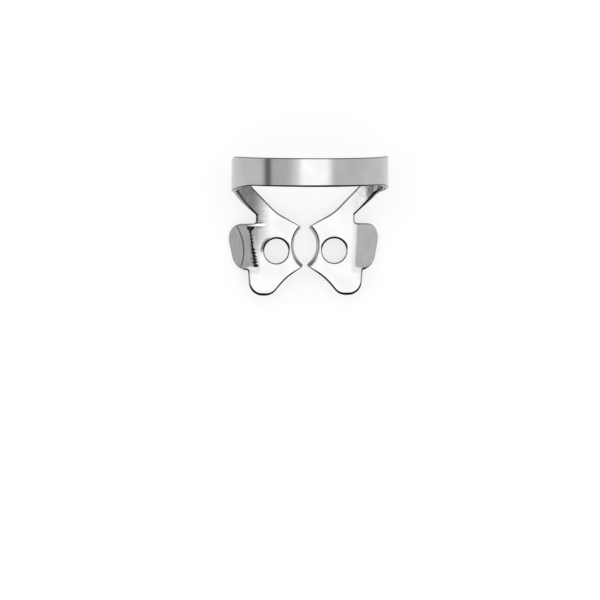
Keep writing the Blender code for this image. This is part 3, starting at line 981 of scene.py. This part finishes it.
def dark_reflection_right_foot(board, at):
    """Slanting dark streaks on the right foot: painted reflection of dark surroundings in its curve."""
    slant = board.stretched((at.out - at.across) * 0.5, (at.out + at.across) * 3.5, at.side)
    dark_marks = board.noise(slant, 1.0, 2.0, 0.6).ease(0.48, 0.6)
    dark_marks = dark_marks * at.out.ease(8.6, 9.6) * at.out.ease(12.6, 11.6)
    return dark_marks * at.across.ease(6.0, 6.8) * at.across.ease(9.4, 8.6) * (1 - at.left) * at.on_top


def dark_patch_by_hole(at):
    """Dark patch outwards of the left forceps hole."""
    dark_marks = at.from_hole.ease(2.5, 2.15) * (at.past_hole / at.from_hole).ease(0.3, 0.75)
    dark_marks = dark_marks * (at.behind_hole / at.from_hole).ease(-0.2, 0.15)
    return dark_marks * at.streaks.ease(0.3, 0.55, 0.6, 1.0) * at.left * at.on_top


def matt_bend(at):
    """The bend and the drawn front end of each wing, gone a little matt."""
    strained = at.reach.ease(-0.5, -0.1) * at.reach.ease(1.0, 0.5) * abs(at.along).ease(4.2, 3.4)
    drawn_end = at.reach.ease(-0.3, 0.2) * abs(at.along + 3.3).ease(1.0, 0.4)
    return strained.maths("MAXIMUM", drawn_end)


def spring_steel():
    """Plated spring steel: buffed faces with fine lines along the strip, dull torn cut edges."""
    material, board = new_finish("buffed_spring_steel")
    at = SheetPlaces(board)
    buffing = board.noise(board.stretched(at.length * 0.35, at.across * 9.0, at.height), 1.0, 3.0, 0.6)
    clouds = board.noise(at.sheet, 0.45, 2.0)
    waves = board.noise(at.sheet, 0.22, 1.0)
    hatching = board.stretched(at.length * 5.0, at.across * 5.0, at.height * 1.2)
    hatching = board.noise(hatching, 1.6, 3.0, 0.65)
    rim_shading, front_edge_shading = painted_rim_shade(at)
    torn = torn_band(at)
    cracked, frayed = cracked_plating(board, at)
    highlight_share = painted_highlight_line(at)
    shaded_crease = shaded_wing_crease(at)
    jaw_dull_shade = dull_shaded_jaw(at) * (1 - highlight_share)
    feet_shade = dull_shaded_feet(at)

    colour = board.blend(clouds.ease(0.3, 0.7), (0.45, 0.447, 0.443, 1), (0.485, 0.482, 0.478, 1))
    for share, tint in (
        # Painted shade on the rear of the left jaw and its neck
        (jaw_dull_shade * 0.85, (0.15, 0.148, 0.146, 1)),
        (rubbed_wings(board, at) * 0.2, (0.33, 0.327, 0.324, 1)),
        # Painted shade under the feet
        (shade_under_feet(at) * 0.8, (0.12, 0.116, 0.112, 1)),
        # Painted shade, mottled, on top of the feet
        (feet_shade * 0.45, (0.13, 0.128, 0.125, 1)),
        # Painted reflection: slanting dark streaks on the right foot
        (dark_reflection_right_foot(board, at) * 0.8, (0.06, 0.058, 0.056, 1)),
        (dark_patch_by_hole(at) * 0.9, (0.03, 0.029, 0.028, 1)),
        # Painted shade along the rims, blackest on those that face forwards
        (rim_shading, (0.06, 0.052, 0.048, 1)),
        (front_edge_shading, (0.015, 0.013, 0.012, 1)),
        # Painted reflection: each ground face darker towards its front point
        (at.ground * at.across.ease(-1.2, -2.7) * 0.6, (0.05, 0.045, 0.042, 1)),
        (notch_nicks(at) * 0.9, (0.03, 0.029, 0.028, 1)),
        # Painted shadow in the rear stretch of each hole's upper rim
        (painted_hole_rim_shade(at), (0.012, 0.012, 0.012, 1)),
        (torn * hatching.ease(0.3, 0.62, 0.9, 0.7), (0.06, 0.057, 0.054, 1)),
        (dark_land_band(at) * 0.85, (0.03, 0.028, 0.026, 1)),
        # Painted shade along the left wing's crease
        (shaded_crease * 0.85, (0.05, 0.048, 0.046, 1)),
        (frayed * 0.6, (0.08, 0.078, 0.075, 1)),
        (cracked * 0.95, (0.01, 0.01, 0.01, 1)),
        # Painted highlight across the rear end of the left wing's bend
        (highlight_share * 0.8, (0.9, 0.9, 0.9, 1)),
    ):
        colour = board.blend(share, colour, tint)

    roughness = 0.11 + buffing * 0.07 + torn * 0.3 + cracked * 0.3 + feet_shade * 0.15 + jaw_dull_shade * 0.15
    roughness = roughness + matt_bend(at) * 0.22
    relief = board.bump(waves, 0.004 * MM)
    relief = board.bump(buffing, 0.0014 * MM, relief)
    relief = board.bump(torn * hatching, 0.015 * MM, relief)
    relief = board.bump(1 - shaded_crease, 0.015 * MM, relief)
    relief = board.bump(1 - cracked, 0.01 * MM, relief)
    shader = board.node(
        "ShaderNodeBsdfPrincipled",
        sockets={"Base Color": colour, "Metallic": 1.0, "Roughness": roughness, "Normal": relief},
    )
    board.node("ShaderNodeOutputMaterial", sockets={"Surface": shader})
    return material


def fading_shade():
    """Black card that fades to nothing towards the clamp."""
    material, board = new_finish("fading_shade")
    x, _, _ = board.parts(board.node("ShaderNodeTexCoord", output="Object"))
    black = board.node("ShaderNodeBsdfDiffuse", sockets={"Color": (0.01, 0.01, 0.01, 1)})
    clear = board.node("ShaderNodeBsdfTransparent")
    see_through = x.ease(SHADE_FADE_START, SHADE_FADE_END, 0.2, 1.0)
    surface = board.node("ShaderNodeMixShader", sockets={0: see_through, 1: black, 2: clear})
    board.node("ShaderNodeOutputMaterial", sockets={"Surface": surface})
    return material


def pale_floor():
    """Pale floor that keeps a soft shadow; what is seen of it is partly plain white."""
    material, board = new_finish("pale_floor")
    camera_ray, glossy_ray, transmission_ray = (
        board.node("ShaderNodeLightPath", output=name)
        for name in ("Is Camera Ray", "Is Glossy Ray", "Is Transmission Ray")
    )
    seen = camera_ray.maths("MAXIMUM", glossy_ray).maths("MAXIMUM", transmission_ray)
    paper = board.node("ShaderNodeBsdfDiffuse", sockets={"Color": (0.92, 0.92, 0.92, 1)})
    white = board.node("ShaderNodeEmission", sockets={"Color": (1, 1, 1, 1), "Strength": 1.0})
    surface = board.node("ShaderNodeMixShader", sockets={0: seen * 0.7, 1: paper, 2: white})
    board.node("ShaderNodeOutputMaterial", sockets={"Surface": surface})
    return material


# Studio


def studio_light():
    """Pale walls left and right, dimmer in front and behind, with a bright softbox overhead.

    The directions are those that the light comes from: x to the right, y to the rear, z up.
    """
    world = bpy.data.worlds.new("studio")
    world.use_nodes = True
    board = Board(world.node_tree)
    x, y, z = board.parts(board.node("ShaderNodeTexCoord"))
    sideways = x.maths("ARCTAN2", z)
    walls = sideways.ease(math.radians(-60), math.radians(30), 0.84, 0.96)
    walls = walls * y.ease(-0.55, -0.25, 0.4, 1.0) * y.ease(0.3, 0.6, 1.0, 0.6)
    low_behind = y.ease(0.3, 0.6) * z.ease(0.35, 0.2)
    walls = walls * (1 - low_behind * 0.45)
    walls = walls * sideways.ease(math.radians(-86.8), math.radians(-83.2), 0.2, 1.0)
    backwards = y / z.maths("MAXIMUM", 0.05)
    softbox = sideways.ease(math.radians(-66), math.radians(-36))
    softbox = softbox * sideways.ease(math.radians(35), math.radians(11))
    softbox = softbox * backwards.ease(-0.62, -0.38) * backwards.ease(1.3, 0.9) * z.ease(0.0, 0.1)
    strength = walls + softbox * (SOFTBOX_STRENGTH - walls)
    shader = board.node("ShaderNodeBackground", sockets={"Color": (1, 1, 1, 1), "Strength": strength})
    board.node("ShaderNodeOutputWorld", sockets={"Surface": shader})
    bpy.context.scene.world = world


def flat_panel(name, x_range, y_range, height, material):
    """A flat panel of the stage, level at this height."""
    (left, right), (front, rear) = x_range, y_range
    mesh = bpy.data.meshes.new(name)
    corners = [(left, front, height), (right, front, height), (right, rear, height), (left, rear, height)]
    mesh.from_pydata(corners, [], [(0, 1, 2, 3)])
    mesh.materials.append(material)
    panel = bpy.data.objects.new(name, mesh)
    bpy.context.scene.collection.objects.link(panel)
    return panel


def floor_and_shade():
    """The floor, and the black card close over it, which only the steel reflects."""
    height = cad_box[0].z
    flat_panel("floor", (-FLOOR_REACH, FLOOR_REACH), (-FLOOR_REACH, FLOOR_REACH), height, pale_floor())
    shade = flat_panel(
        "left_shade",
        (-FLOOR_REACH, SHADE_RIGHT),
        (-SHADE_REACH, SHADE_REACH),
        height + SHADE_LIFT,
        fading_shade(),
    )
    shade.visible_camera = False
    shade.visible_shadow = False
    shade.visible_diffuse = False


def camera():
    """Almost straight from above, a little from the left and from the rear, as photographed."""
    towards = Vector((
        -math.sin(CAMERA_LEAN) * math.cos(CAMERA_TILT),
        math.sin(CAMERA_TILT),
        math.cos(CAMERA_LEAN) * math.cos(CAMERA_TILT),
    ))
    right = Vector((math.cos(CAMERA_LEAN), 0.0, math.sin(CAMERA_LEAN)))
    up = towards.cross(right)
    aim = right * (AIM_RIGHT * FRAME_WIDTH) + up * (AIM_UP * FRAME_WIDTH)
    data = bpy.data.cameras.new("camera")
    data.sensor_width = SENSOR_WIDTH
    data.lens = SENSOR_WIDTH * CAMERA_DISTANCE / FRAME_WIDTH
    data.clip_start = 0.01
    data.clip_end = 10.0
    view = bpy.data.objects.new("camera", data)
    view.location = aim + towards * CAMERA_DISTANCE
    view.rotation_mode = "QUATERNION"
    view.rotation_quaternion = Matrix((right, up, towards)).transposed().to_quaternion()
    bpy.context.scene.collection.objects.link(view)
    bpy.context.scene.camera = view


def main():
    clamp = clamp_sheet()
    clamp.data.materials.append(spring_steel())
    bpy.context.scene.collection.objects.link(clamp)
    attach(clamp, "root")
    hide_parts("clamp")
    floor_and_shade()
    studio_light()
    camera()
    bpy.context.scene.view_settings.view_transform = "Standard"


main()
